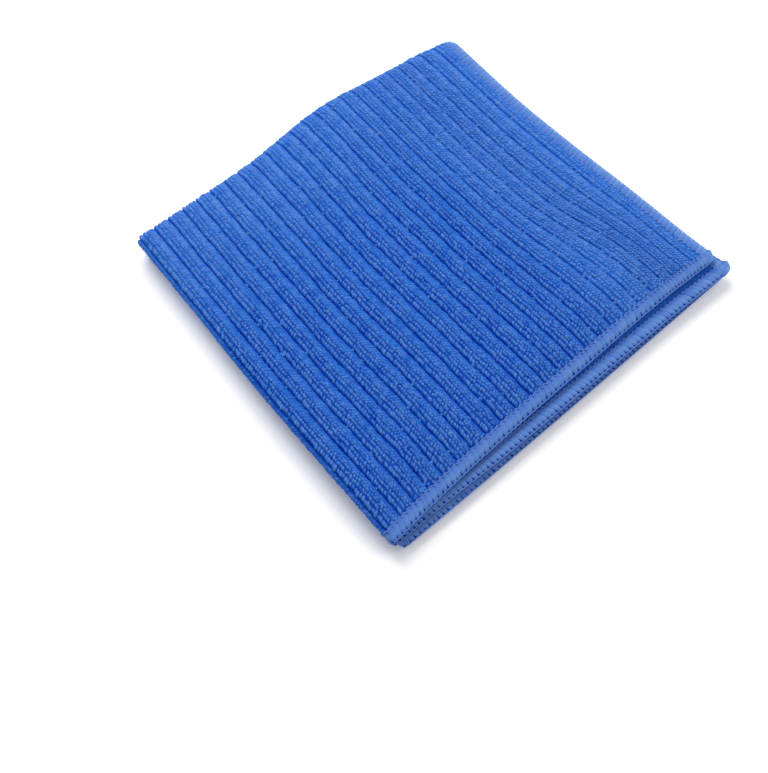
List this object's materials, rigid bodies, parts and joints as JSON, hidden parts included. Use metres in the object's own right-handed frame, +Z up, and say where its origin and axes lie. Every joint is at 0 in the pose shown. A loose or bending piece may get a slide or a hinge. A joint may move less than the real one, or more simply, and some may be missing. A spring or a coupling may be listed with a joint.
{
  "type": "folded ribbed microfibre cloth",
  "caption": "Ribbed terry microfibre cleaning cloth with an overlocked hem, folded in quarters and lying flat as a soft square pad.",
  "frame": {"origin": "centre of the bounding box, on the surface the cloth lies on", "axes": "+X along the ribs, from the second fold to the front hems; +Y across the ribs, from the first fold to the side hems; +Z up"},
  "size_m": [0.1672, 0.1768, 0.0148],
  "materials": {
    "microfibre_terry": "matte looped pile in soft ribs, mid blue",
    "hem_thread": "smooth overlock thread, paler blue"
  },
  "bodies": {
    "root": {"cloth": "microfibre_terry"}
  },
  "joints": []
}
